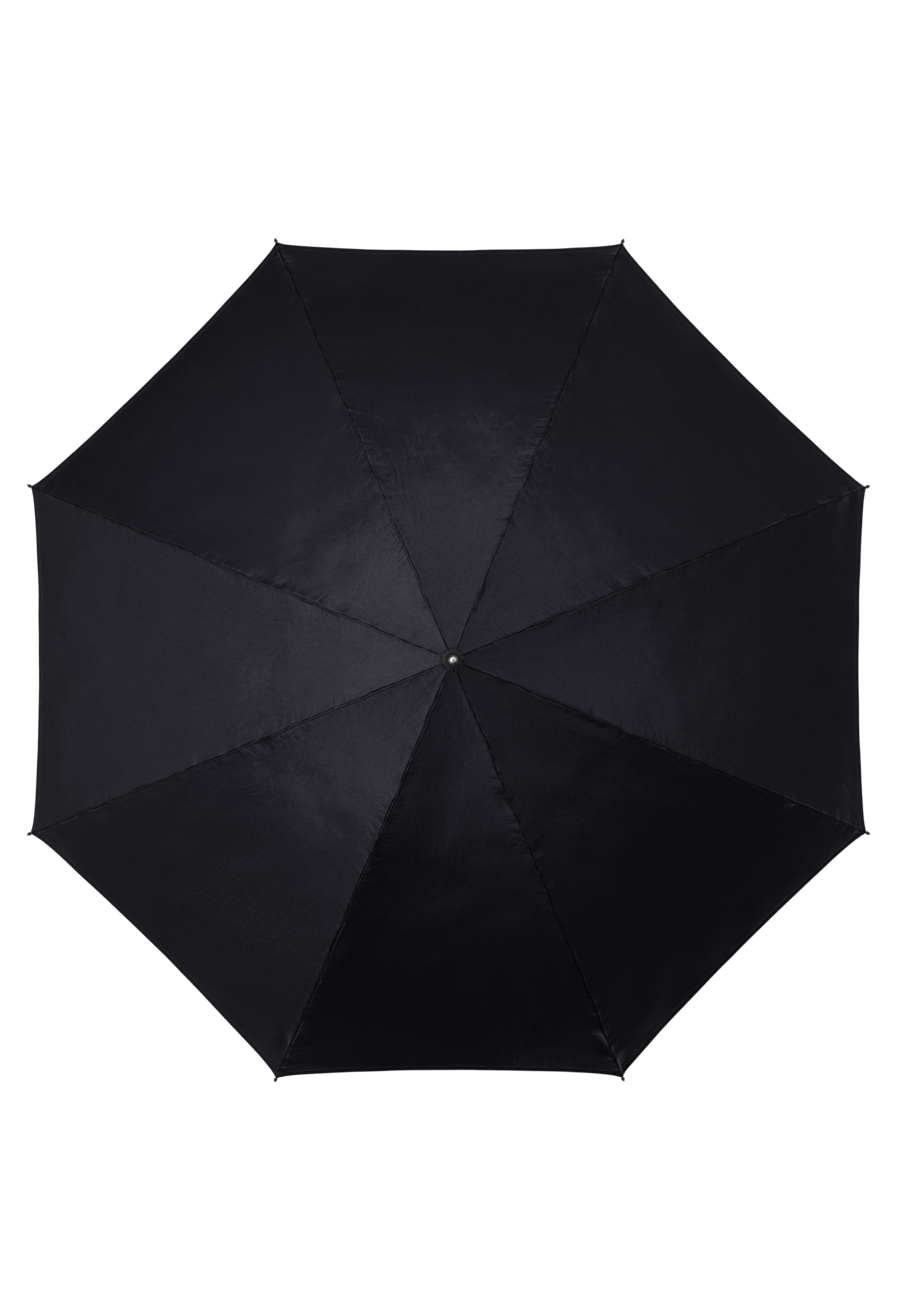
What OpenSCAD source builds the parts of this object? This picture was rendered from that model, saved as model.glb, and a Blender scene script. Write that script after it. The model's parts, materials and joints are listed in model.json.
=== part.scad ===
// Stick umbrella with eight ribs, drawn fully open.
// Millimetres, +Z up. The origin is on the shaft's axis, halfway up the straight grip of the crook handle.
// Rib 1 lies 22.5 degrees from +X, and the others follow every 45 degrees. The crook opens toward +X.

/* [Canopy frame] */
// Length of one rib along its curve
rib_length = 565; // [555:5:575]
// Radius that every rib is bent to
rib_bend = 1295; // [1250:5:1350]
// Slope of the ribs where they leave the crown, in degrees below level
rib_slope = 12; // [11:0.5:13]
// Distance along the rib from the crown to the stretcher joint
joint_along = 215; // [210:1:220]
// Length of a stretcher from joint to runner
stretcher_length = 310; // [305:1:315]
// Width of the rib channel
rib_w = 3.2; // [3:0.1:3.4]
// Height of the rib channel
rib_h = 2.6; // [2.4:0.1:2.6]
// Wall of the rib channel
rib_wall = 0.45; // [0.4:0.05:0.6]

/* [Fabric] */
// Thickness of the canopy solid
fabric_t = 0.4; // [0.3:0.1:0.8]
// Height of the fabric's underside over the middle of the rib
fabric_lift = 2.2; // [2.2:0.1:2.6]
// How far the hem is drawn in halfway between two ribs
hem_scallop = 9; // [4:1:16]
// How far the fabric falls in beside each rib tip
hem_flare = 5; // [2:0.5:6]
// How far the middle of a gore sinks below the straight line between its ribs
gore_sink = 5; // [0:0.5:7]
// Width of the tie strap
strap_w = 14; // [10:1:15]
// Length of the tie strap
strap_length = 150; // [120:5:160]

/* [Shaft] */
// Height of the crown's pivots above the middle of the grip
crown_z = 665; // [655:1:680]
// Outer radius of the shaft tube
shaft_r = 5; // [5:0.1:5.1]
// Wall of the shaft tube
shaft_wall = 0.7; // [0.6:0.1:0.8]
// Radius of the circle that the crown's pivots lie on
crown_pivot_r = 8; // [8:0.1:8.4]
// Radius of the circle that the runner's pivots lie on
runner_pivot_r = 13; // [13:0.1:13.4]
// Length of the runner below its pivots
runner_barrel = 50; // [48:1:54]

/* [Ferrule] */
// Height of the ferrule's tip above the crown's pivots
ferrule_top = 75; // [68:1:84]
// Radius of the ring bead round the ferrule
ferrule_bead_r = 7.4; // [7:0.1:8]
// Radius of the cup that clamps the rosette
cup_r = 9.7; // [9.2:0.1:10.2]
// Radius of the pleated rosette
rosette_r = 13; // [12:0.5:14]
// Radius of the metal tip
tip_r = 4.5; // [4:0.1:5]

/* [Handle] */
// Length of the straight grip
grip_length = 120; // [116:1:124]
// Radius of the grip
grip_r = 11.5; // [11:0.1:12.5]
// Radius of the crook, measured to the middle of the grip
crook_r = 40; // [36:1:44]
// Length of the straight end of the crook
crook_end = 12; // [6:1:18]

/* [Hidden] */
$fn = 64;

rib_count = 8;
half_gore = 180 / rib_count;
strap_rib = 7;

// Hinges
crown_wire_r = 0.6;
crown_eye_r = 1.7;
crown_blade_w = 1.6;
blade_length = 9;
joint_drop = 4.5;
rivet_r = 1;
eye_r = 2.2;
stretcher_w = 2.2;
stretcher_h = 2;
runner_wire_r = 0.8;
hook_gap_r = 1;
hook_r = 2.2;
hook_offset = 2.3;
hinge_clear = 0.05;
groove_clear = 0.02;

// The stretcher joint and the runner's pivots, with the canopy open
joint_out = rib_out(joint_along, -joint_drop);
joint_z = rib_up(joint_along, -joint_drop);
stretcher_lean = asin((joint_out - runner_pivot_r) / stretcher_length);
runner_z = joint_z - stretcher_length * cos(stretcher_lean);

// The same pivots with the canopy closed, when the rib tips stand this far from the axis
closed_tip_r = 24;
tip_out = rib_out(rib_length, 0) - crown_pivot_r;
tip_drop = crown_z - rib_up(rib_length, 0);
tip_reach = norm([tip_out, tip_drop]);
fold_angle = 90 - atan2(tip_drop, tip_out) - asin((closed_tip_r - crown_pivot_r) / tip_reach);
joint_reach = norm([joint_out - crown_pivot_r, crown_z - joint_z]);
joint_angle = atan2(crown_z - joint_z, joint_out - crown_pivot_r) + fold_angle;
closed_joint_r = crown_pivot_r + joint_reach * cos(joint_angle);
closed_joint_z = crown_z - joint_reach * sin(joint_angle);
closed_lean = asin((closed_joint_r - runner_pivot_r) / stretcher_length);
closed_runner_z = closed_joint_z - stretcher_length * cos(closed_lean);
runner_travel = runner_z - closed_runner_z;
joint_turn = fold_angle + stretcher_lean - closed_lean;

// Runner
runner_bore_r = shaft_r + 0.3;
runner_hub_r = 10.4;
runner_head_r = 16;
runner_head_h = 4.5;
runner_slot_w = 3.2;
barrel_r = 8.2;
thimble_r = 9.2;
thimble_t = 2;
window_low = 34;
window_h = 12;
window_w = 3.6;

// Catches
catch_w = 2.4;
catch_slot_w = 3.4;
catch_in = 0.4;
catch_out = 4;
catch_nose = 8;
catch_pin_x = 2.2;
catch_length = 41;
rest_gap = 0.15;
top_catch_z = runner_z - runner_barrel - rest_gap;
bottom_catch_z = closed_runner_z - window_low + rest_gap;

// Shaft, crown, handle and ferrule
pin_r = 1;
shaft_top = crown_z + 42;
shaft_foot = -40;
grip_top = grip_length / 2;
handle_pin_z = grip_top - 25;
crown_pin_z = crown_z + 20;
collar_h = 10;
crown_r = 10.5;
crown_hub_r = 6;
crown_slot_w = 2.2;
crown_depth = 4.5;
cup_z = crown_z + 4.9;
ferrule_z = cup_z + 2.2;
tip_dome_r = (tip_r * tip_r + 4) / 4;
bead_z = crown_z + 47;
tip_z = crown_z + 52;
cap_h = 3;

// Canopy
canopy_from = 1.2;
canopy_to = rib_length - 1.5;
canopy_rows = 14;
panel_gap = 0.15;
columns = [-1, -0.72, -0.42, -0.14, 0, 0.14, 0.42, 0.72, 1];
strap_from = 395;

// Slope of a rib at distance s from the crown, in degrees below level
function slope(s) = rib_slope + s / rib_bend * 180 / PI;

// Distance from the shaft's axis, and height, of the point at distance s along a rib and h above its middle
function rib_out(s, h) = crown_pivot_r + (rib_bend + h) * sin(slope(s)) - rib_bend * sin(rib_slope);
function rib_up(s, h) = crown_z + (rib_bend + h) * cos(slope(s)) - rib_bend * cos(rib_slope);

// Distance along the rib at which the hem runs, across = 0 on the rib and 1 in the middle of the gore
function hem(across) = canopy_to
    - hem_flare * (1 - pow(1 - min(1, across / 0.16), 2))
    - hem_scallop * (1 - pow(1 - across, 2));

// Point of the canopy over a rib that points along +X, at a row from 0 to 1, across from -1 to 1, and height h
function canopy_point(row, across, h) =
    let (
        s = canopy_from + row * (hem(abs(across)) - canopy_from),
        out = rib_out(s, h),
        side = out * sin(half_gore),
        reach = across * (side - panel_gap),
        sink = gore_sink * sin(180 * row) * (1 - pow(1 - abs(across), 2)),
        sink_in = sink * sin(slope(s))
    )
    [
        out - abs(reach) * sin(half_gore) - sink_in * cos(half_gore),
        reach * cos(half_gore) - sign(across) * sink_in * sin(half_gore),
        rib_up(s, h) - sink * cos(slope(s))
    ];

// Turn a piece to the azimuth of rib i
module at_rib(i) {
    rotate([0, 0, half_gore + 2 * half_gore * (i - 1)]) children();
}

// Place a piece on the rib: its x runs toward the tip and its z points away from the shaft's foot
module along_rib(s, h = 0) {
    translate([rib_out(s, h), 0, rib_up(s, h)]) rotate([0, slope(s), 0]) children();
}

// Sweep an outline along the rib's curve; the outline's x is height and its y is width
module rib_sweep(from, to) {
    translate([crown_pivot_r - rib_bend * sin(rib_slope), 0, crown_z - rib_bend * cos(rib_slope)])
        rotate([90, 0, 0])
            rotate([0, 0, 90 - slope(to)])
                rotate_extrude(angle = slope(to) - slope(from), $fn = 720)
                    translate([rib_bend, 0]) children();
}

// A round bar along y
module cross_bar(r, length) {
    rotate([90, 0, 0]) cylinder(r = r, h = length, center = true);
}

// A wire bent to a ring
module wire_ring(ring_r, wire_r) {
    rotate_extrude($fn = 96) translate([ring_r, 0]) circle(r = wire_r, $fn = 32);
}

module shaft() {
    color("dimgray")
        difference() {
            translate([0, 0, shaft_foot]) cylinder(r = shaft_r, h = shaft_top - shaft_foot);
            translate([0, 0, shaft_foot - 1]) cylinder(r = shaft_r - shaft_wall, h = shaft_top - shaft_foot + 2);
            for (z = [crown_pin_z, handle_pin_z]) translate([0, 0, z]) cross_bar(pin_r, 3 * shaft_r);
            translate([0, 0, stop_pin_z()]) cross_bar(pin_r, 3 * shaft_r);
            translate([catch_pin_x, 0, top_catch_z - catch_length]) cross_bar(pin_r, 3 * shaft_r);
            translate([catch_pin_x, 0, bottom_catch_z - catch_length + 8]) cross_bar(pin_r, 3 * shaft_r);
            translate([0, -catch_slot_w / 2, top_catch_z - catch_length + 4])
                cube([2 * shaft_r, catch_slot_w, catch_length - 3]);
            translate([0, -catch_slot_w / 2, bottom_catch_z - catch_length + 12])
                cube([2 * shaft_r, catch_slot_w, catch_length - 3]);
        }
}

function stop_pin_z() = runner_z + runner_head_h + pin_r + rest_gap;

// Two cross pins that hold the ferrule and the handle on the shaft
module shaft_pins() {
    color("silver") {
        translate([0, 0, crown_pin_z]) cross_bar(pin_r, 12.2);
        translate([0, 0, handle_pin_z]) cross_bar(pin_r, 20);
    }
}

// The pin that stops the runner when the canopy is open
module stop_pin() {
    color("silver") translate([0, 0, stop_pin_z()]) cross_bar(pin_r, 2 * shaft_r + 4);
}

// The pins that the two spring catches swing on
module catch_pins() {
    color("silver")
        for (z = [top_catch_z - catch_length, bottom_catch_z - catch_length + 8])
            translate([catch_pin_x, 0, z]) cross_bar(pin_r, 8.4);
}

// Notched ring at the top of the shaft that the ribs hinge in
module crown_notch() {
    color("black")
        difference() {
            translate([0, 0, crown_z])
                rotate_extrude()
                    polygon([
                        [shaft_r, -crown_depth], [crown_r, -crown_depth],
                        [crown_r, 0.6], [crown_hub_r + 0.5, 1.6], [shaft_r, 1.6]
                    ]);
            for (i = [1 : rib_count]) at_rib(i)
                translate([crown_hub_r + 0.1, -crown_slot_w / 2, crown_z - 10]) cube([20, crown_slot_w, 20]);
            translate([0, 0, crown_z]) wire_ring(crown_pivot_r, crown_wire_r + groove_clear);
        }
}

module crown_wire() {
    color("silver") translate([0, 0, crown_z]) wire_ring(crown_pivot_r, crown_wire_r);
}

// Dished cup that clamps the rosette and the middle of the canopy
module open_cap() {
    color("black")
        translate([0, 0, cup_z])
            rotate_extrude()
                polygon([
                    [shaft_r, 0], [cup_r - 1.4, 0], [cup_r, 1.2], [cup_r, 2.5], [cup_r - 0.3, 3.1],
                    [cup_r - 0.9, 3.4], [cup_r - 1.3, 3.1], [cup_r - 1.5, 2.2], [shaft_r, 2.2]
                ]);
}

// Small gathered disc of cloth between the cup and the canopy
module rosette() {
    color("black")
        translate([0, 0, crown_z])
            rotate_extrude()
                polygon([
                    [shaft_r + 0.05, 3.7], [9, 3.2], [rosette_r, 2.4],
                    [rosette_r, 3.2], [9, 4.2], [shaft_r + 0.05, 4.8]
                ]);
}

// Black spike over the top of the shaft, with a bead where the metal tip starts
module ferrule() {
    color("black")
        difference() {
            rotate_extrude()
                polygon([
                    [0, ferrule_z], [6.6, ferrule_z], [6.2, ferrule_z + 6], [6.4, bead_z - 6],
                    [ferrule_bead_r, bead_z - 2], [ferrule_bead_r, bead_z], [6.6, bead_z + 2],
                    [tip_r + 0.6, tip_z], [0, tip_z]
                ]);
            translate([0, 0, crown_z]) cylinder(r = shaft_r + 0.02, h = shaft_top - crown_z + 0.5);
            translate([0, 0, tip_z - 7]) cylinder(r = 2, h = 8);
            translate([0, 0, crown_pin_z]) cross_bar(pin_r, 20);
        }
}

module ferrule_tip() {
    color("silver") {
        translate([0, 0, tip_z - 6.5]) cylinder(r = 1.98, h = 7.5);
        translate([0, 0, tip_z]) cylinder(r = tip_r, h = crown_z + ferrule_top - tip_z - 2);
        intersection() {
            translate([0, 0, crown_z + ferrule_top - 2]) cylinder(r = tip_r, h = 2.5);
            translate([0, 0, crown_z + ferrule_top - tip_dome_r]) sphere(r = tip_dome_r);
        }
    }
}

// Crook handle: a straight grip that bends through half a turn
module handle() {
    color([0.06, 0.06, 0.06])
        difference() {
            union() {
                translate([0, 0, -grip_top]) cylinder(r = grip_r, h = grip_length);
                translate([crook_r, 0, -grip_top])
                    rotate([90, 0, 0])
                        rotate([0, 0, 180])
                            rotate_extrude(angle = 180, $fn = 128)
                                translate([crook_r, 0]) circle(r = grip_r);
                translate([2 * crook_r, 0, -grip_top]) cylinder(r = grip_r, h = crook_end);
            }
            translate([0, 0, shaft_foot - 0.5]) cylinder(r = shaft_r + 0.02, h = grip_length);
            translate([0, 0, handle_pin_z]) cross_bar(pin_r, 30);
        }
}

// Metal ring where the shaft enters the grip
module handle_collar() {
    color("silver")
        rotate_extrude()
            polygon([
                [shaft_r + 0.02, grip_top + 0.02], [grip_r + 0.4, grip_top + 0.02], [grip_r + 0.4, grip_top + 6],
                [shaft_r + 3.5, grip_top + collar_h], [shaft_r + 0.02, grip_top + collar_h]
            ]);
}

// Metal cap on the end of the crook
module handle_cap() {
    color("silver")
        translate([2 * crook_r, 0, crook_end - grip_top + 0.02]) {
            cylinder(r = grip_r + 0.3, h = cap_h);
            translate([0, 0, cap_h]) cylinder(r1 = grip_r + 0.3, r2 = grip_r - 2.5, h = 2);
        }
}

// Notched slider that the stretchers push on, with a window for the bottom catch
module runner() {
    color("black")
        translate([0, 0, runner_z])
            difference() {
                rotate_extrude()
                    polygon([
                        [runner_bore_r, runner_head_h], [runner_head_r - 1.5, runner_head_h],
                        [runner_head_r, runner_head_h - 1.5], [runner_head_r, 1.5 - runner_head_h],
                        [runner_head_r - 1.5, -runner_head_h], [runner_hub_r - 0.6, -runner_head_h],
                        [barrel_r, -runner_head_h - 4], [barrel_r, 12 - runner_barrel],
                        [thimble_r, 8 - runner_barrel], [thimble_r, thimble_t - runner_barrel],
                        [runner_bore_r, thimble_t - runner_barrel]
                    ]);
                for (i = [1 : rib_count]) at_rib(i)
                    translate([runner_hub_r, -runner_slot_w / 2, -10]) cube([20, runner_slot_w, 20]);
                wire_ring(runner_pivot_r, runner_wire_r + groove_clear);
                translate([0, -window_w / 2, -window_low]) cube([20, window_w, window_h]);
            }
}

module runner_wire() {
    color("silver") translate([0, 0, runner_z]) wire_ring(runner_pivot_r, runner_wire_r);
}

// Steel ring at the foot of the runner, which rests on the top catch
module runner_thimble() {
    color("silver")
        translate([0, 0, runner_z - runner_barrel])
            difference() {
                cylinder(r = thimble_r, h = thimble_t - 0.02);
                translate([0, 0, -1]) cylinder(r = runner_bore_r, h = thimble_t + 2);
            }
}

// Lever inside the tube that swings on a pin at its foot; outline gives the nose, from the top of the lever
module catch(nose) {
    rotate([90, 0, 0])
        linear_extrude(height = catch_w, center = true)
            difference() {
                union() {
                    polygon(concat([[catch_in, 0], [catch_in, -catch_length], [catch_out, -catch_length]], nose));
                    translate([catch_pin_x, -catch_length]) circle(r = 1.8);
                }
                translate([catch_pin_x, -catch_length]) circle(r = pin_r + hinge_clear);
            }
}

// Its flat top holds the runner up; the runner pushes it in from below
module top_catch() {
    color("gainsboro")
        translate([0, 0, top_catch_z])
            catch([[catch_out, -15], [catch_nose, -5], [catch_nose, 0]]);
}

// Its flat underside holds the runner down; the runner pushes it in from above
module bottom_catch() {
    color("gainsboro")
        translate([0, 0, bottom_catch_z + 8])
            catch([[catch_out, -8], [catch_nose, -8], [catch_nose, -6], [catch_out, 0]]);
}

// Bent steel channel, open underneath, with a flat eye on the crown wire and a round spigot for the tip
module rib(i) {
    color("dimgray")
        at_rib(i)
            difference() {
                union() {
                    rib_sweep(blade_length - 2, rib_length - 7)
                        difference() {
                            square([rib_h, rib_w], center = true);
                            translate([-rib_wall, 0]) square([rib_h, rib_w - 2 * rib_wall], center = true);
                        }
                    along_rib(0) {
                        cross_bar(crown_eye_r, crown_blade_w);
                        translate([0, -crown_blade_w / 2, -1.1]) cube([blade_length, crown_blade_w, 2.2]);
                    }
                    along_rib(rib_length - 10, spigot_up()) rotate([0, 90, 0]) cylinder(r = 0.9, h = 11);
                }
                along_rib(0) cross_bar(crown_wire_r + 0.15, 10);
            }
}

function spigot_up() = rib_h / 2 - 0.9;

// Small pointed knob on the end of a rib, which the corner of the fabric is sewn to
module rib_tip(i) {
    color("black")
        at_rib(i)
            along_rib(rib_length - 10, spigot_up())
                rotate([0, 90, 0])
                    difference() {
                        union() {
                            translate([0, 0, 3.3]) cylinder(r = 1.35, h = 9);
                            translate([0, 0, 12.2]) sphere(r = 2.2);
                            translate([0, 0, 13]) cylinder(r1 = 2, r2 = 0.8, h = 3.4);
                        }
                        cylinder(r = 0.92, h = 11.2);
                    }
}

// Saddle under the rib with two ears and the rivet that the stretcher turns on
module rib_joint(i) {
    ear_t = 0.6;
    inner = rib_w / 2 + 0.02;
    base_z = -rib_h / 2 - 0.55;
    color("silver")
        at_rib(i)
            along_rib(joint_along) {
                translate([-6, -inner - ear_t, base_z]) cube([12, 2 * (inner + ear_t), 0.5]);
                for (side = [-1, 1]) {
                    translate([-6, side * (inner + ear_t / 2) - ear_t / 2, base_z]) cube([12, ear_t, 2.6]);
                    translate([-2.4, side * (inner + ear_t / 2) - ear_t / 2, -joint_drop])
                        cube([4.8, ear_t, joint_drop - rib_h / 2]);
                    translate([0, side * (inner + ear_t / 2), -joint_drop]) cross_bar(2.4, ear_t);
                    translate([0, side * (inner + ear_t + 0.2), -joint_drop]) cross_bar(1.7, 0.4);
                }
                translate([0, 0, -joint_drop]) cross_bar(rivet_r, 2 * (inner + ear_t));
            }
}

// Fluted strut with an eye on the rib's rivet and a hook under the runner's wire
module stretcher(i) {
    tilt = asin(hook_offset / stretcher_length);
    color("dimgray")
        at_rib(i)
            translate([joint_out, 0, joint_z])
                rotate([0, 90 + stretcher_lean, 0])
                    difference() {
                        union() {
                            cross_bar(eye_r, stretcher_w);
                            rotate([0, -tilt, 0])
                                translate([1.5, -stretcher_w / 2, -stretcher_h / 2])
                                    cube([stretcher_length - 1.2, stretcher_w, stretcher_h]);
                            translate([stretcher_length, 0, 0])
                                rotate([90, 0, 0])
                                    rotate([0, 0, -50])
                                        rotate_extrude(angle = 170)
                                            translate([hook_gap_r, -stretcher_w / 2])
                                                square([hook_r - hook_gap_r, stretcher_w]);
                        }
                        cross_bar(rivet_r + hinge_clear, 10);
                        rotate([0, -tilt, 0]) translate([14, -0.7, -0.4]) cube([stretcher_length - 32, 1.4, 5]);
                    }
}

// Two half gores sewn along one rib, from the crown to the scalloped hem
module canopy_panel(i) {
    wide = len(columns);
    layer = (canopy_rows + 1) * wide;
    points = [
        for (h = [fabric_lift, fabric_lift + fabric_t])
            for (row = [0 : canopy_rows])
                for (across = columns)
                    canopy_point(row / canopy_rows, across, h)
    ];
    cells = [for (row = [0 : canopy_rows - 1]) for (column = [0 : wide - 2]) row * wide + column];
    side_cells = [for (row = [0 : canopy_rows - 1]) row * wide];
    last = canopy_rows * wide;
    faces = concat(
        [for (k = cells) [k, k + 1, k + wide + 1]],
        [for (k = cells) [k, k + wide + 1, k + wide]],
        [for (k = cells) [layer + k, layer + k + wide + 1, layer + k + 1]],
        [for (k = cells) [layer + k, layer + k + wide, layer + k + wide + 1]],
        [for (k = side_cells) [k, k + wide, layer + k + wide]],
        [for (k = side_cells) [k, layer + k + wide, layer + k]],
        [for (k = side_cells) [k + wide - 1, layer + k + 2 * wide - 1, k + 2 * wide - 1]],
        [for (k = side_cells) [k + wide - 1, layer + k + wide - 1, layer + k + 2 * wide - 1]],
        [for (k = [0 : wide - 2]) [k, layer + k + 1, k + 1]],
        [for (k = [0 : wide - 2]) [k, layer + k, layer + k + 1]],
        [for (k = [0 : wide - 2]) [last + k, last + k + 1, last + layer + k + 1]],
        [for (k = [0 : wide - 2]) [last + k, last + layer + k + 1, last + layer + k]]
    );
    color([0.05, 0.05, 0.07]) at_rib(i) polyhedron(points = points, faces = faces, convexity = 4);
}

// Strap that lies flat under the fabric beside one rib when the canopy is open
module tie_strap() {
    color("black")
        at_rib(strap_rib)
            rib_sweep(strap_from, strap_from + strap_length)
                polygon([
                    [0.3, 3.4], [0.3 - strap_w / 4, 3.4 + strap_w],
                    [-0.5 - strap_w / 4, 3.4 + strap_w], [-0.5, 3.4]
                ]);
}

// Press stud near the free end of the strap
module strap_snap() {
    color("silver")
        at_rib(strap_rib)
            along_rib(strap_from + 12, -0.52 - strap_w / 8)
                translate([0, -3.4 - strap_w / 2, 0])
                    rotate([14, 0, 0]) translate([0, 0, -1.4]) cylinder(r = 4.5, h = 1.4);
}

shaft();
shaft_pins();
stop_pin();
catch_pins();
crown_notch();
crown_wire();
open_cap();
rosette();
ferrule();
ferrule_tip();
handle();
handle_collar();
handle_cap();
runner();
runner_wire();
runner_thimble();
top_catch();
bottom_catch();
for (i = [1 : rib_count]) {
    rib(i);
    rib_tip(i);
    rib_joint(i);
    stretcher(i);
    canopy_panel(i);
}
tie_strap();
strap_snap();
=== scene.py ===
import json
import math

import bmesh
import bpy
from mathutils import Matrix, Vector, noise


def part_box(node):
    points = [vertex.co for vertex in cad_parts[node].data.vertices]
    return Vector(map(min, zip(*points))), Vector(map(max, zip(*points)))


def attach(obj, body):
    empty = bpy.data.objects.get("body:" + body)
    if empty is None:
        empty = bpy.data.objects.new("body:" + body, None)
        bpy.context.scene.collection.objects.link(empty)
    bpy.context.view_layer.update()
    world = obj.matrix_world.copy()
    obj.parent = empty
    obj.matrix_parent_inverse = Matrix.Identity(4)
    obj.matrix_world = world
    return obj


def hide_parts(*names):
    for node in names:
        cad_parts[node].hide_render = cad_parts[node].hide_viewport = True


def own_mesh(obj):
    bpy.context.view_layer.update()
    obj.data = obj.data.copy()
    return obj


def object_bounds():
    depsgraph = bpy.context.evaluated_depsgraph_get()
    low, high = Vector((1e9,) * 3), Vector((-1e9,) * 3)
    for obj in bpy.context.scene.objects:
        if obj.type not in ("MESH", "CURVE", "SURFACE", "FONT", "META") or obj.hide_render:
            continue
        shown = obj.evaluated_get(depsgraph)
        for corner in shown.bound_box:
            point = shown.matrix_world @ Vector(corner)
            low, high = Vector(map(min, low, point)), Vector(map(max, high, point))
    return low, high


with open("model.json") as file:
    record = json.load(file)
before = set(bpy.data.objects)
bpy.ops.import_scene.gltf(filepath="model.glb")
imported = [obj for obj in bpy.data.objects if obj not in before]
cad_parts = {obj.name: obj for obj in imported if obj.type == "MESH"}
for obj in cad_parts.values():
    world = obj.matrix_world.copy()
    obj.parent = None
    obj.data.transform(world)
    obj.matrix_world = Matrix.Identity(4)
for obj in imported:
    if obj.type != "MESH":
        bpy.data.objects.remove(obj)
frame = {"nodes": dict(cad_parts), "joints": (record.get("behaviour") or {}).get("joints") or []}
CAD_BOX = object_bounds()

# Lengths are in metres and angles in radians. Noise takes frequencies per metre and small seeds.

# The canopy frame
RIBS = range(1, 9)
HALF_GORE = math.radians(22.5)
RIB_LENGTH = 0.565
RIB_BEND = 1.295
RIB_SLOPE = math.radians(12)
RIB_JOINT_AT = 0.215

# The cloth, measured from the middle of the rib channel
CLOTH_UP = 0.0024
CANOPY_FROM = 0.0012
CANOPY_TO = RIB_LENGTH - 0.0015
GORE_SINK = 0.005
CLOTH_ROWS = 120
CLOTH_COLUMNS = 26

# The hem: its outline, its turned edge and the stitches that hold it
HEM_SCALLOP = 0.009
HEM_FLARE = 0.005
HEM_FLARE_WITHIN = 0.05
HEM_FOLD = 0.006
HEM_STITCH_AT = 0.0058
HEM_THICK = 0.00009
HEM_STITCH_DEPTH = 0.00018
HEM_ROWS = (0.016, 0.011, 0.0085, 0.0071, 0.0063, 0.0058, 0.0053, 0.0045, 0.003, 0.0015, 0.0006, 0)

# The seam along each rib: the cloth's points near it, its stitches, and its puckers
SEAM_COLUMNS = (
    0, 0.0005, 0.0010, 0.0016, 0.0023, 0.0029, 0.0034,
    0.0039, 0.0047, 0.0060, 0.0082, 0.0115, 0.016, 0.022,
)
SEAM_FELL = 0.0034
SEAM_GROOVE = 0.0006
SEAM_EDGE_RIDGE = 0.00008
SEAM_FELL_RIDGE = 0.00018
SEAM_FELL_STITCH = 0.00022
SEAM_PUCKER = 0.0009
SEAM_DENT = 0.0036
SEAM_HELD_WITHIN = 0.022
RIB_JOINT_RISE = 0.0004
RIB_JOINT_HALF = 0.011

# The turned edges of the seam, under the cloth
SEAM_TAPE_W = 0.010
SEAM_TAPE_FROM = 0.012
SEAM_TAPE_LENGTH = CANOPY_TO - 0.016
SEAM_TAPE_DROP = 0.0004

# The gathered rosette and the tie strap
STRAP_RIB = 7
STRAP_LENGTH = 0.150
STRAP_W = 0.014
STRAP_FROM = 0.395
STRAP_BESIDE_RIB = 0.0034


def joint(name):
    return next(j for j in frame["joints"] if j["name"] == name)


CROWN = Vector(joint("rib_1_fold")["pos_m"])
CROWN_R = CROWN.xy.length
CROWN_Z = CROWN.z


# ---------------------------------------------------------------- canopy geometry

def azimuth(rib):
    return HALF_GORE + 2 * HALF_GORE * (rib - 1)


def slope(s):
    """Slope of a rib, below level, at distance s along it."""
    return RIB_SLOPE + s / RIB_BEND


def rib_out(s, up):
    """Distance from the shaft's middle of a point that is up above the rib, s along it."""
    return CROWN_R + (RIB_BEND + up) * math.sin(slope(s)) - RIB_BEND * math.sin(RIB_SLOPE)


def rib_z(s, up):
    """Height of a point that is up above the rib, s along it."""
    return CROWN_Z + (RIB_BEND + up) * math.cos(slope(s)) - RIB_BEND * math.cos(RIB_SLOPE)


def half_width(s):
    """Straight distance from a rib to the middle of the gore, s along the rib."""
    return rib_out(s, CLOTH_UP) * math.sin(HALF_GORE)


def directions(angle):
    """The outward and sideways directions at an azimuth."""
    out = Vector((math.cos(angle), math.sin(angle), 0))
    return out, Vector((-out.y, out.x, 0))


def bell(x, width):
    return math.exp(-(x / width) ** 2)


def ripple(x, y, z):
    """Smooth noise between -1 and 1."""
    return noise.noise(Vector((x, y, z)))


def hem(across):
    """Distance along the rib of the hem, across = 0 on the rib and 1 in the middle of the gore."""
    flare = HEM_FLARE * (1 - math.exp(-across / HEM_FLARE_WITHIN))
    return CANOPY_TO - flare - HEM_SCALLOP * (1 - (1 - across) ** 2)


def gore_sink(rib, side):
    """How far the gore on one side of a rib sinks below the ribs, a little different for each gore."""
    gore = (rib if side > 0 else rib - 1) % 8
    return GORE_SINK * (1 + 0.35 * math.sin(2.3 * gore + 0.7))


def cloth_wave(place):
    """Slack of the stretched cloth at a place: broad, soft and fine waves."""
    broad = 0.0012 * noise.noise(place * 9)
    soft = 0.0007 * noise.noise(place * 26 + Vector((7, 3, 1)))
    fine = 0.00012 * ripple(place.x * 90, place.y * 90, 4)
    return broad + soft + fine


def seam_shift(rib, s):
    """How far the seam wanders sideways from the rib's middle."""
    ease = min(1, s / 0.05) * min(1, (RIB_LENGTH - s) / 0.03)
    slow = ripple(s * 38, rib * 5.1, 0)
    quick = ripple(s * 120, rib * 3.7, 9)
    return ease * (0.0019 * slow + 0.0009 * quick)


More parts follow.
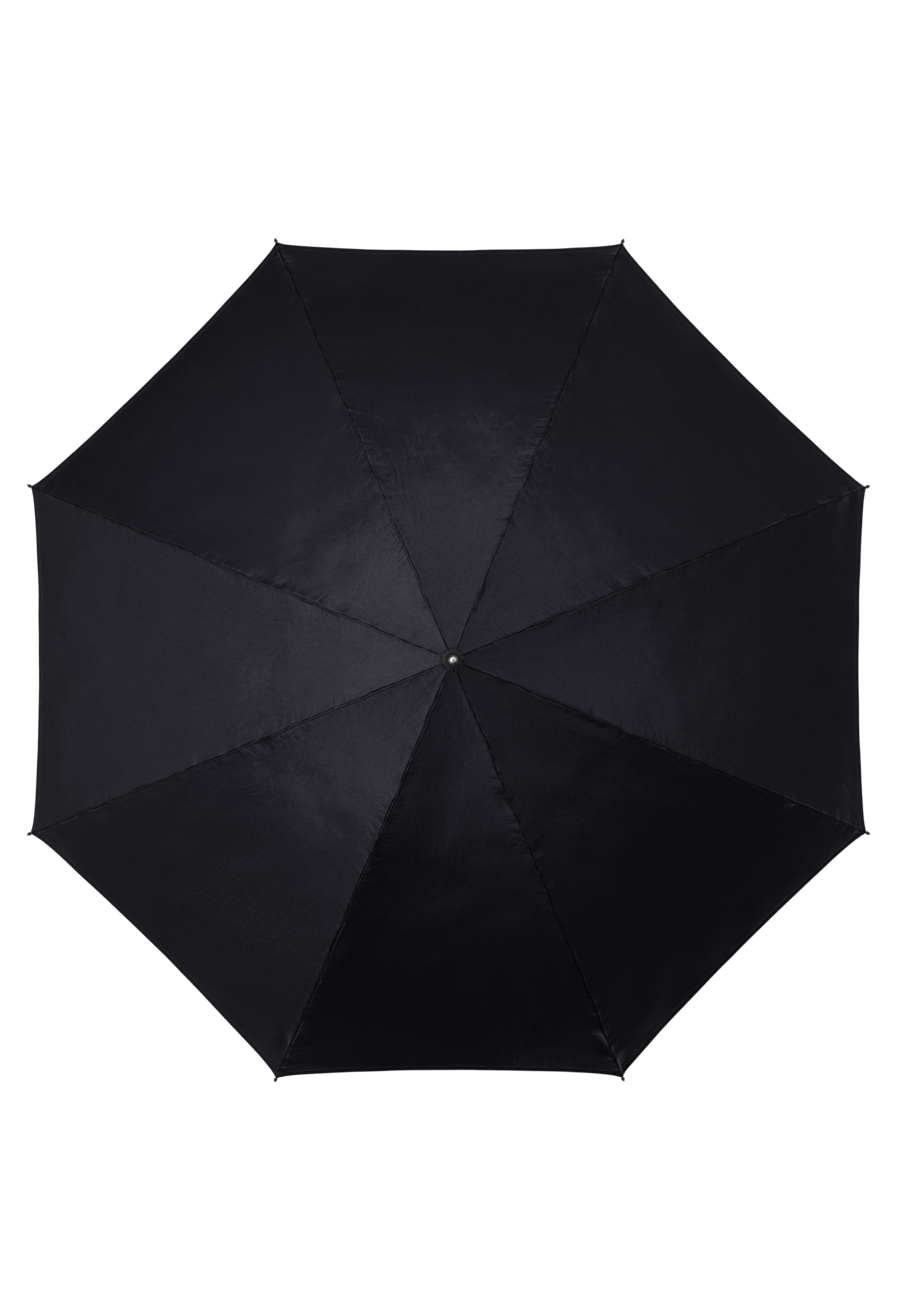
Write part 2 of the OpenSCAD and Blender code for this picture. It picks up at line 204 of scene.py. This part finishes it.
def seam_relief(rib, s, side, y):
    """Height of the sewn seam and its puckers over the smooth cloth, y from the rib."""
    pull = 1 + 0.9 * ripple(s * 70, rib * 1.7, 6)
    uneven = 1 + ripple(s * 160, rib, side)
    groove = -SEAM_GROOVE * min(1.2, pull) * bell(y, 0.0010)
    ridge = SEAM_EDGE_RIDGE * bell(y - 0.0032, 0.0018) * uneven
    if side > 0:
        folded = SEAM_FELL_RIDGE * bell(y - 0.5 * SEAM_FELL, 0.0012) * uneven
        ridge = folded - SEAM_FELL_STITCH * pull * bell(y - SEAM_FELL, 0.0007)
    gathered = ripple(s * 120, rib * 2.3, y * 40 * side)
    pucker = SEAM_PUCKER * gathered * math.exp(-y / 0.007) * min(1, y / 0.002)
    pulled = max(0, ripple(s * 21, rib * 4.4, side * 2.2) - 0.2)
    dent = -SEAM_DENT * pulled * bell(y - 0.006, 0.008) * min(1, y / 0.003)
    over_joint = bell(s - RIB_JOINT_AT, RIB_JOINT_HALF)
    rise = RIB_JOINT_RISE * over_joint * bell(y, 0.004)
    return min(1, s / 0.03) * ((groove + ridge + pucker + dent) * (1 - over_joint) + rise)


def half_gore_columns(width):
    """Distances from the rib at which the cloth's points lie: close together at the seam."""
    scale = min(1, width / 0.05)
    near = [y * scale for y in SEAM_COLUMNS]
    rest = width - near[-1]
    return near + [near[-1] + rest * (k + 1) / CLOTH_COLUMNS for k in range(CLOTH_COLUMNS)]


def cloth_point(rib, side, s, y, width, lift=0.0):
    """A point of the canopy on one side of a rib, y from it along the straight line to the next rib."""
    out, across = directions(azimuth(rib))
    mid_out, _ = directions(azimuth(rib) + side * HALF_GORE)
    a = y / width
    turn = slope(s)
    base_out = rib_out(s, CLOTH_UP + lift) - y * math.sin(HALF_GORE)
    base_side = y * math.cos(HALF_GORE)
    place = out * base_out + across * (side * base_side) + Vector((0, 0, rib_z(s, CLOTH_UP + lift)))
    row = min(1, s / CANOPY_TO)
    loose = 1 - bell(y, SEAM_HELD_WITHIN)
    sink = gore_sink(rib, side) * math.sin(math.pi * row) * (1 - (1 - a) ** 2)
    gore_normal = mid_out * math.sin(turn) + Vector((0, 0, math.cos(turn)))
    place -= gore_normal * (sink - loose * min(1, row / 0.12) * cloth_wave(place))
    rib_normal = out * math.sin(turn) + Vector((0, 0, math.cos(turn)))
    fade = 1 - a ** 3
    place += rib_normal * (fade * seam_relief(rib, s, side, y))
    place += across * (fade * seam_shift(rib, s) * math.exp(-y / 0.012))
    return place


def half_gore_rows(edge):
    """Distances along the rib: even over the cloth and close together at the sewn hem."""
    last = edge - HEM_ROWS[0]
    rows = [CANOPY_FROM + (last - CANOPY_FROM) * k / CLOTH_ROWS for k in range(CLOTH_ROWS)]
    return rows + [edge - from_edge for from_edge in HEM_ROWS]


def hem_lift(from_edge):
    """Height of the doubled hem over the single cloth, with the groove that its stitches pull."""
    band = HEM_THICK * (1 - math.tanh((from_edge - 0.0056) / 0.0006))
    return band - HEM_STITCH_DEPTH * bell(from_edge - HEM_STITCH_AT, 0.0007)


def grid_mesh(name, grid, uvs, from_seam=None):
    """A smooth mesh from rows of points, the flat place of each and its distance from the seam."""
    wide = len(grid[0])
    points = [p for row in grid for p in row]
    faces = [
        (r * wide + c, r * wide + c + 1, (r + 1) * wide + c + 1, (r + 1) * wide + c)
        for r in range(len(grid) - 1)
        for c in range(wide - 1)
    ]
    mesh = bpy.data.meshes.new(name)
    mesh.from_pydata(points, [], faces)
    mesh.polygons.foreach_set("use_smooth", [True] * len(faces))
    flat = [p for row in uvs for p in row]
    layer = mesh.uv_layers.new(name="cloth")
    for loop in mesh.loops:
        layer.data[loop.index].uv = flat[loop.vertex_index]
    distance = mesh.attributes.new("from_seam", "FLOAT", "POINT")
    far = from_seam or [[1.0] * wide for row in grid]
    distance.data.foreach_set("value", [d for row in far for d in row])
    mesh.update()
    piece = bpy.data.objects.new(name, mesh)
    bpy.context.collection.objects.link(piece)
    return piece


def weld(piece):
    """Joins the points of a mesh that lie in one place."""
    work = bmesh.new()
    work.from_mesh(piece.data)
    bmesh.ops.remove_doubles(work, verts=work.verts, dist=0.000002)
    work.to_mesh(piece.data)
    work.free()


def hem_levels(rows):
    """Row number, distance back from the hem and lift of each row: the cloth, then its turned edge."""
    turned_edge = ((-0.0003, 0.0004), (0.0004, 0.0008), (0.003, 0.0009), (HEM_FOLD - 0.0005, 0.0007))
    plain = [(r, 0.0, None) for r in range(rows)]
    return plain + [(-1, back, 2 * HEM_THICK - drop) for back, drop in turned_edge]


def half_gore(rib, side):
    """Half of a gore, sewn along its rib, with its hem turned under."""
    guess = half_width(CANOPY_TO)
    across = [y / guess for y in half_gore_columns(guess)]
    plan = [half_gore_rows(hem(a)) for a in across]
    grid, flat, from_seam = [], [], []
    for r, back, lift in hem_levels(len(plan[0])):
        line, line_flat, line_seam = [], [], []
        for column, rows in enumerate(plan):
            s = rows[r] - back
            width = half_width(s)
            y = half_gore_columns(width)[column]
            raised = hem_lift(rows[-1] - s) if lift is None else lift
            line.append(cloth_point(rib, side, s, y, width, raised))
            line_flat.append((side * (width - y), s))
            line_seam.append(min(y, abs(y - SEAM_FELL) + 0.0010) if side > 0 else y)
        grid.append(line)
        flat.append(line_flat)
        from_seam.append(line_seam)
    if side < 0:
        grid, flat, from_seam = ([row[::-1] for row in rows] for rows in (grid, flat, from_seam))
    word = "left" if side > 0 else "right"
    return grid_mesh(f"canopy_gore_{rib}_{word}", grid, flat, from_seam)


def seam_tape(rib):
    """The seam's turned edges, a narrow strip close under the cloth along the rib."""
    grid, flat = [], []
    steps, columns = 110, 8
    for k in range(steps + 1):
        s = SEAM_TAPE_FROM + SEAM_TAPE_LENGTH * k / steps
        width = half_width(s)
        line, line_flat = [], []
        for c in range(columns + 1):
            x = (c / columns - 0.5) * SEAM_TAPE_W
            under = SEAM_TAPE_DROP + 0.0002 * ripple(s * 110, rib, x * 300)
            line.append(cloth_point(rib, 1 if x > 0 else -1, s, abs(x), width, -under))
            line_flat.append((x, s))
        grid.append(line)
        flat.append(line_flat)
    return grid_mesh(f"canopy_seam_{rib}", grid, flat)


def rosette():
    """The gathered disc of cloth between the cup and the canopy."""
    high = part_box("rosette")[1]
    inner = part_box("shaft")[1].x + 0.0002
    outer = high.x + 0.0006
    top = high.z - 0.0006
    rings, around = 30, 420
    pleats, small_pleats = 15, 34
    pleat_height, small_height, droop = 0.0008, 0.00028, 0.0015
    grid, flat = [], []
    for r in range(rings + 1):
        f = r / rings
        line, line_flat = [], []
        for k in range(around + 1):
            angle = 2 * math.pi * (k % around) / around
            x, y = math.cos(angle), math.sin(angle)
            slow = ripple(x * 1.3, y * 1.3, 5)
            uneven = ripple(x * 3.1, y * 3.1, 8)
            pleat = math.sin(pleats * angle + 7 * slow)
            small = math.sin(small_pleats * angle + 9 * uneven)
            size = 0.6 + 0.7 * abs(uneven) + 0.3 * slow
            reach = inner + (outer * (1 + 0.03 * pleat * size + 0.05 * uneven) - inner) * f
            rise = f ** 1.6 * size * (pleat_height * pleat + small_height * small) - droop * f ** 2
            line.append(Vector((x * reach, y * reach, top + rise)))
            line_flat.append((0.02 * x * f, 0.02 * y * f))
        grid.append(line)
        flat.append(line_flat)
    return grid_mesh("rosette_cloth", grid, flat)


def strap():
    """The tie strap, lying flat under the canopy beside one rib."""
    out, across = directions(azimuth(STRAP_RIB))
    rows, columns = 90, 12
    half_thick, stitch_depth, stitch_inset = 0.00022, 0.00012, 0.0017
    there = [(c / columns, 1) for c in range(columns + 1)]
    back = [(1 - c / columns, -1) for c in range(columns + 1)]
    grid, flat = [], []
    for k in range(rows + 1):
        f = k / rows
        s = STRAP_FROM + STRAP_LENGTH * f
        from_end = min(f, 1 - f) * STRAP_LENGTH
        narrow = 1 - 0.5 * max(0, 1 - from_end / 0.005) ** 2
        line, line_flat = [], []
        for x, face in there + back + there[:1]:
            edge = (1 - (2 * x - 1) ** 8) * (1 - max(0, 1 - from_end / 0.001) ** 4)
            stitch = stitch_depth * bell(min(x, 1 - x) * STRAP_W - stitch_inset, 0.0005)
            wave = 0.0004 * math.sin(s * 70 + 0.6) + 0.00025 * ripple(s * 60, x * 2, 3)
            up = -0.0001 - x * STRAP_W / 4 + face * edge * (half_thick - stitch) + wave
            y = STRAP_BESIDE_RIB + STRAP_W * (0.5 + (x - 0.5) * narrow)
            place = out * rib_out(s, up) + Vector((0, 0, rib_z(s, up)))
            line.append(place - across * y)
            line_flat.append((x * STRAP_W, s))
        grid.append(line)
        flat.append(line_flat)
    piece = grid_mesh("tie_strap_cloth", grid, flat)
    weld(piece)
    return piece


# ---------------------------------------------------------------- material helpers

def material(name, color, roughness, metallic=0.0):
    """A new material and its tree and shader."""
    m = bpy.data.materials.new(name)
    m.use_nodes = True
    shader = m.node_tree.nodes["Principled BSDF"]
    shader.inputs["Base Color"].default_value = (*color, 1)
    shader.inputs["Roughness"].default_value = roughness
    shader.inputs["Metallic"].default_value = metallic
    return m, m.node_tree, shader


def add(tree, kind, **values):
    """A new node with its inputs and settings given by name."""
    node = tree.nodes.new(kind)
    for key, value in values.items():
        if key in node.inputs:
            node.inputs[key].default_value = value
        else:
            setattr(node, key, value)
    return node


def object_place(tree):
    return tree.nodes.new("ShaderNodeTexCoord").outputs["Object"]


def math_node(tree, operation, a, b=None):
    """A Math node on sockets or numbers."""
    node = tree.nodes.new("ShaderNodeMath")
    node.operation = operation
    for socket, value in zip(node.inputs, (a, b)):
        if isinstance(value, (int, float)):
            socket.default_value = value
        elif value is not None:
            tree.links.new(value, socket)
    return node.outputs[0]


def blend(tree, first, second, share):
    """A share of the first socket plus the rest of the second."""
    return math_node(
        tree, "ADD",
        math_node(tree, "MULTIPLY", first, share),
        math_node(tree, "MULTIPLY", second, 1 - share),
    )


def spread(tree, value, low, high):
    """A 0 to 1 socket mapped to a range."""
    node = tree.nodes.new("ShaderNodeMapRange")
    node.inputs["To Min"].default_value = low
    node.inputs["To Max"].default_value = high
    tree.links.new(value, node.inputs["Value"])
    return node.outputs["Result"]


def part_of(tree, value, start, end, low, high):
    """A socket's range from start to end mapped to low to high, smoothly and clamped."""
    node = tree.nodes.new("ShaderNodeMapRange")
    node.interpolation_type = "SMOOTHSTEP"
    for name, number in (("From Min", start), ("From Max", end), ("To Min", low), ("To Max", high)):
        node.inputs[name].default_value = number
    tree.links.new(value, node.inputs["Value"])
    return node.outputs["Result"]


def noise_at(tree, where, scale, detail=2.0, rough=0.5):
    node = add(tree, "ShaderNodeTexNoise", Scale=scale, Detail=detail, Roughness=rough)
    tree.links.new(where, node.inputs["Vector"])
    return node.outputs["Fac"]


def stretched(tree, where, scale, angle=0.0):
    """Coordinates stretched and turned, for a grain with a direction."""
    node = add(tree, "ShaderNodeMapping", Scale=scale, Rotation=(0, 0, angle))
    tree.links.new(where, node.inputs["Vector"])
    return node.outputs["Vector"]


def bump(tree, shader, height, depth, strength, after=None):
    """A bump on a shader, or on top of another bump."""
    node = tree.nodes.new("ShaderNodeBump")
    node.inputs["Distance"].default_value = depth
    node.inputs["Strength"].default_value = strength
    tree.links.new(height, node.inputs["Height"])
    if after:
        tree.links.new(after, node.inputs["Normal"])
    tree.links.new(node.outputs["Normal"], shader.inputs["Normal"])
    return node.outputs["Normal"]


def two_colors(tree, shader, fac, first, second):
    """The shader's colour, from the first to the second by a socket."""
    mix = tree.nodes.new("ShaderNodeMix")
    mix.data_type = "RGBA"
    mix.inputs["A"].default_value = (*first, 1)
    mix.inputs["B"].default_value = (*second, 1)
    tree.links.new(fac, mix.inputs["Factor"])
    tree.links.new(mix.outputs["Result"], shader.inputs["Base Color"])


# ---------------------------------------------------------------- materials

# The tint of the cloth's gloss, a little violet
CLOTH_GLOSS = (0.78, 0.755, 1.0)


def weave_height(tree, uv):
    """Height of a plain weave, threads both ways."""
    threads = []
    for axis in ("X", "Y"):
        wave = add(tree, "ShaderNodeTexWave", Scale=620.0, Distortion=1.2, bands_direction=axis)
        wave.inputs["Detail"].default_value = 1.0
        wave.inputs["Detail Scale"].default_value = 0.4
        tree.links.new(uv, wave.inputs["Vector"])
        threads.append(wave.outputs["Fac"])
    return math_node(tree, "MULTIPLY", threads[0], threads[1])


def gloss_and_seam_shade(tree, place, from_seam):
    """How much the cloth shines: uneven from thread to thread, and dimmed along the seam's stitch lines
    as painted shade for the groove.
    """
    wander = math_node(tree, "MULTIPLY", noise_at(tree, place, 130.0, 1.0), 0.0020)
    from_line = math_node(tree, "ADD", from_seam, wander)
    # Painted shade: the gloss falls to 0.15 along the stitch lines, darkening them like the shade in the
    # seam's groove.
    painted_seam_shade = part_of(tree, from_line, start=0.0010, end=0.0025, low=0.15, high=1.0)
    glint = spread(tree, noise_at(tree, place, 420.0, 1.0, 0.8), 0.5, 1.5)
    return math_node(tree, "MULTIPLY", painted_seam_shade, glint)


def wrinkle_height(tree, place, uv):
    """Height of thin slanted wrinkles, in patches."""
    fold = noise_at(tree, stretched(tree, uv, (1.0, 0.22, 1.0), -0.45), 75.0, 1.0, 0.4)
    from_line = math_node(tree, "ABSOLUTE", math_node(tree, "SUBTRACT", fold, 0.5))
    line = part_of(tree, from_line, start=0.0, end=0.05, low=1.0, high=0.0)
    patch = part_of(tree, noise_at(tree, place, 7.0, 1.0), start=0.5, end=0.66, low=0.0, high=1.0)
    return math_node(tree, "MULTIPLY", line, patch)


def pucker_height(tree, uv, from_seam):
    """Height of the gathers across the seam, which fade away from it."""
    gather = noise_at(tree, stretched(tree, uv, (0.35, 1.0, 1.0)), 170.0, 2.0, 0.5)
    near = part_of(tree, from_seam, start=0.0, end=0.022, low=1.0, high=0.0)
    return math_node(tree, "MULTIPLY", gather, near)


def woven_cloth(name, dark, light, roughness, specular):
    """Fine plain-weave polyester with a soft sheen, creases, puckered seams with painted shade along
    their stitch lines, and slightly uneven dye.
    """
    m, tree, shader = material(name, dark, roughness)
    shader.inputs["Specular IOR Level"].default_value = specular
    place = object_place(tree)
    uv = add(tree, "ShaderNodeUVMap", uv_map="cloth").outputs["UV"]
    from_seam = add(tree, "ShaderNodeAttribute", attribute_name="from_seam").outputs["Fac"]
    grain = noise_at(tree, place, 260.0, 2.0, 0.7)
    shade = blend(tree, noise_at(tree, place, 11.0, 3.0), grain, 0.6)
    two_colors(tree, shader, shade, dark, light)
    tree.links.new(spread(tree, shade, roughness - 0.05, roughness + 0.05), shader.inputs["Roughness"])
    tint = add(tree, "ShaderNodeVectorMath", operation="SCALE")
    tint.inputs[0].default_value = CLOTH_GLOSS
    tree.links.new(gloss_and_seam_shade(tree, place, from_seam), tint.inputs["Scale"])
    tree.links.new(tint.outputs["Vector"], shader.inputs["Specular Tint"])
    crease = noise_at(tree, stretched(tree, uv, (1.0, 0.4, 1.0), 0.5), 85.0, 3.0, 0.55)
    slub = noise_at(tree, stretched(tree, uv, (1.0, 0.06, 1.0)), 240.0, 1.0, 0.5)
    relief = (
        # height, depth, strength
        (crease, 0.0008, 0.3),
        (wrinkle_height(tree, place, uv), 0.00016, 0.8),
        (pucker_height(tree, uv, from_seam), 0.0008, 0.8),
        (slub, 0.00013, 0.7),
        (grain, 0.0001, 0.7),
        (weave_height(tree, uv), 0.00012, 0.4),
    )
    normal = None
    for height, depth, strength in relief:
        normal = bump(tree, shader, height, depth, strength, normal)
    return m


def worn_metal(name, color, roughness, scratch=0.4):
    """Plated metal with fine drawn lines and faint smudges."""
    m, tree, shader = material(name, color, roughness, 1.0)
    place = object_place(tree)
    drawn = noise_at(tree, stretched(tree, place, (2600.0, 2600.0, 40.0)), 1.0, 2.0)
    both = blend(tree, noise_at(tree, place, 60.0, 3.0), drawn, 0.6)
    tree.links.new(spread(tree, both, roughness * 0.6, roughness * 1.5), shader.inputs["Roughness"])
    two_colors(tree, shader, both, tuple(0.86 * c for c in color), color)
    bump(tree, shader, drawn, 0.00001, scratch)
    return m


def coated(name, color, lighter, roughness, grain_scale, grain_depth, coat=0.0):
    """Moulded, lacquered or powder-coated surface: fine grain and rubbed patches."""
    m, tree, shader = material(name, color, roughness)
    shader.inputs["Coat Weight"].default_value = coat
    shader.inputs["Coat Roughness"].default_value = 0.12
    place = object_place(tree)
    rub = noise_at(tree, place, 45.0, 4.0, 0.6)
    grain = noise_at(tree, place, grain_scale, 3.0, 0.55)
    tree.links.new(spread(tree, rub, roughness - 0.08, roughness + 0.1), shader.inputs["Roughness"])
    two_colors(tree, shader, rub, color, lighter)
    bump(tree, shader, grain, grain_depth, 0.6)
    return m


CLOTH = woven_cloth("black_pongee", (0.0014, 0.0010, 0.0024), (0.0024, 0.0017, 0.0040), 0.13, 0.46)
TAPE = woven_cloth("black_webbing", (0.0024, 0.0024, 0.0038), (0.0060, 0.0060, 0.0080), 0.55, 0.25)
STEEL = worn_metal("nickel_plated_steel", (0.60, 0.60, 0.61), 0.26)
SPRING = worn_metal("spring_steel", (0.48, 0.48, 0.50), 0.36)
BRIGHT = worn_metal("bright_nickel", (0.80, 0.79, 0.77), 0.12, 0.15)
COATED_STEEL = coated(
    "black_coated_steel", (0.012, 0.012, 0.013), (0.022, 0.022, 0.023), 0.36,
    grain_scale=1400.0, grain_depth=0.00006, coat=0.2,
)
MOULDED = coated(
    "moulded_black", (0.010, 0.010, 0.011), (0.018, 0.018, 0.019), 0.42,
    grain_scale=900.0, grain_depth=0.00008,
)
LACQUER = coated(
    "black_lacquer", (0.006, 0.006, 0.007), (0.012, 0.012, 0.013), 0.22,
    grain_scale=300.0, grain_depth=0.00003, coat=0.7,
)
GRIP = coated(
    "grained_grip", (0.011, 0.0105, 0.010), (0.021, 0.020, 0.019), 0.40,
    grain_scale=520.0, grain_depth=0.00025, coat=0.25,
)

NODE_LOOKS = {
    "shaft": STEEL, "shaft_pins": STEEL, "stop_pin": STEEL, "catch_pins": STEEL,
    "crown_notch": MOULDED, "crown_wire": STEEL, "open_cap": LACQUER,
    "ferrule": LACQUER, "ferrule_tip": BRIGHT,
    "handle": GRIP, "handle_collar": BRIGHT, "handle_cap": BRIGHT,
    "runner": MOULDED, "runner_wire": STEEL, "runner_thimble": BRIGHT,
    "top_catch": SPRING, "bottom_catch": SPRING, "strap_snap": BRIGHT,
}
for i in RIBS:
    NODE_LOOKS[f"rib_{i}"] = COATED_STEEL
    NODE_LOOKS[f"stretcher_{i}"] = COATED_STEEL
    NODE_LOOKS[f"rib_tip_{i}"] = MOULDED
    NODE_LOOKS[f"rib_joint_{i}"] = STEEL


def dress(piece, look):
    piece.data.materials.clear()
    piece.data.materials.append(look)


for name, look in NODE_LOOKS.items():
    dress(frame["nodes"][name], look)


# ---------------------------------------------------------------- cloth pieces

for rib in RIBS:
    tape = seam_tape(rib)
    dress(tape, TAPE)
    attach(tape, f"rib_{rib}")
    for side in (1, -1):
        piece = half_gore(rib, side)
        dress(piece, CLOTH)
        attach(piece, f"rib_{rib}")
        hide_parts(f"canopy_panel_{rib}")
        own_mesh(piece)

gathered = rosette()
dress(gathered, CLOTH)
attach(gathered, "stick")
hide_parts("rosette")

tie = strap()
dress(tie, TAPE)
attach(tie, f"rib_{STRAP_RIB}")
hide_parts("tie_strap")


# ---------------------------------------------------------------- floor, light, camera

def floor():
    """A wide pale floor that the handle stands on, clear from below; it glows as a painted pool of light,
    brightest around the object and fading far out.
    """
    size = 14.0
    z = CAD_BOX[0].z - 0.0005
    corners = [(-size, -size, z), (size, -size, z), (size, size, z), (-size, size, z)]
    mesh = bpy.data.meshes.new("floor")
    mesh.from_pydata(corners, [], [(0, 1, 2, 3)])
    piece = bpy.data.objects.new("floor", mesh)
    bpy.context.collection.objects.link(piece)
    m, tree, shader = material("pale_floor", (0.25, 0.25, 0.25), 0.9)
    shader.inputs["Specular IOR Level"].default_value = 0.0
    shader.inputs["Emission Color"].default_value = (1, 1, 1, 1)
    from_middle = add(tree, "ShaderNodeVectorMath", operation="LENGTH")
    tree.links.new(object_place(tree), from_middle.inputs[0])
    # Painted light: the floor glows at full strength within about a metre of the middle and fades further
    # out, so it stays white around the object.
    painted_glow_pool = part_of(tree, from_middle.outputs["Value"], start=1.15, end=2.6, low=0.93, high=0.12)
    tree.links.new(painted_glow_pool, shader.inputs["Emission Strength"])
    clear = tree.nodes.new("ShaderNodeBsdfTransparent")
    from_below = tree.nodes.new("ShaderNodeMixShader")
    back = tree.nodes.new("ShaderNodeNewGeometry").outputs["Backfacing"]
    tree.links.new(back, from_below.inputs["Fac"])
    tree.links.new(shader.outputs["BSDF"], from_below.inputs[1])
    tree.links.new(clear.outputs["BSDF"], from_below.inputs[2])
    tree.links.new(from_below.outputs["Shader"], tree.nodes["Material Output"].inputs["Surface"])
    dress(piece, m)


def studio():
    """Soft light from a bright ceiling, out to about 50 degrees from straight up, and from dim walls."""
    ceiling_ends, ceiling_full = math.radians(53.5), math.radians(49.5)
    bright_from, slant, mean, least = math.radians(144), 0.94, 0.76, 0.06
    wall_share, dark_corner_share = 0.15, 0.045
    world = bpy.data.worlds.new("studio")
    bpy.context.scene.world = world
    world.use_nodes = True
    tree = world.node_tree
    back = tree.nodes["Background"]
    split = tree.nodes.new("ShaderNodeSeparateXYZ")
    tree.links.new(tree.nodes.new("ShaderNodeTexCoord").outputs["Generated"], split.inputs[0])
    x, y, z = (split.outputs[axis] for axis in "XYZ")
    # Brighter to the left and the top of the view, and to both sides
    slanted = math_node(
        tree, "ADD",
        math_node(tree, "MULTIPLY", x, slant * math.cos(bright_from)),
        math_node(tree, "MULTIPLY", y, slant * math.sin(bright_from)),
    )
    both_sides = math_node(tree, "MULTIPLY", x, x)
    lit = math_node(tree, "ADD", math_node(tree, "ADD", slanted, both_sides), mean)
    # The ceiling is brighter toward its edge than overhead
    ceiling = part_of(tree, z, math.cos(ceiling_ends), math.cos(ceiling_full), 0.0, 1.0)
    low_side = math_node(tree, "SUBTRACT", 4.7, math_node(tree, "MULTIPLY", z, 4.9))
    above = math_node(tree, "MULTIPLY", ceiling, math_node(tree, "MAXIMUM", low_side, 0.35))
    toward_corner = math_node(tree, "SUBTRACT", y, x)
    wall = part_of(tree, toward_corner, start=1.0, end=1.3, low=wall_share, high=dark_corner_share)
    share = math_node(tree, "ADD", above, wall)
    strength = math_node(tree, "MULTIPLY", math_node(tree, "MAXIMUM", lit, least), share)
    tree.links.new(strength, back.inputs["Strength"])
    back.inputs["Color"].default_value = (1, 1, 1, 1)


def camera():
    """Straight above and a little to the left, looking down on the open canopy."""
    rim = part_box("rib_tip_1")[0].z
    height, across_frame = 3.0, 1.4924
    place = Vector((-0.038, 0, rim + height))
    aim = Vector((0.0007, 0.0114, rim))
    view = (aim - place).normalized()
    right = view.cross(Vector((0, 1, 0))).normalized()
    up = right.cross(view)
    data = bpy.data.cameras.new("camera")
    data.sensor_width = 36
    data.lens = data.sensor_width * height / across_frame
    data.clip_start, data.clip_end = 0.05, 60
    eye = bpy.data.objects.new("camera", data)
    bpy.context.collection.objects.link(eye)
    eye.matrix_world = Matrix.Translation(place) @ Matrix((right, up, -view)).transposed().to_4x4()
    bpy.context.scene.camera = eye


def lamp():
    """A small soft lamp over the camera, for the highlight on the metal tip."""
    data = bpy.data.lights.new("lamp", "AREA")
    data.shape = "DISK"
    data.size = 0.4
    data.energy = 2.4
    light = bpy.data.objects.new("lamp", data)
    light.location = (-0.68, 0.53, 3.9)
    bpy.context.collection.objects.link(light)


floor()
studio()
lamp()
camera()
bpy.context.scene.view_settings.view_transform = "Standard"
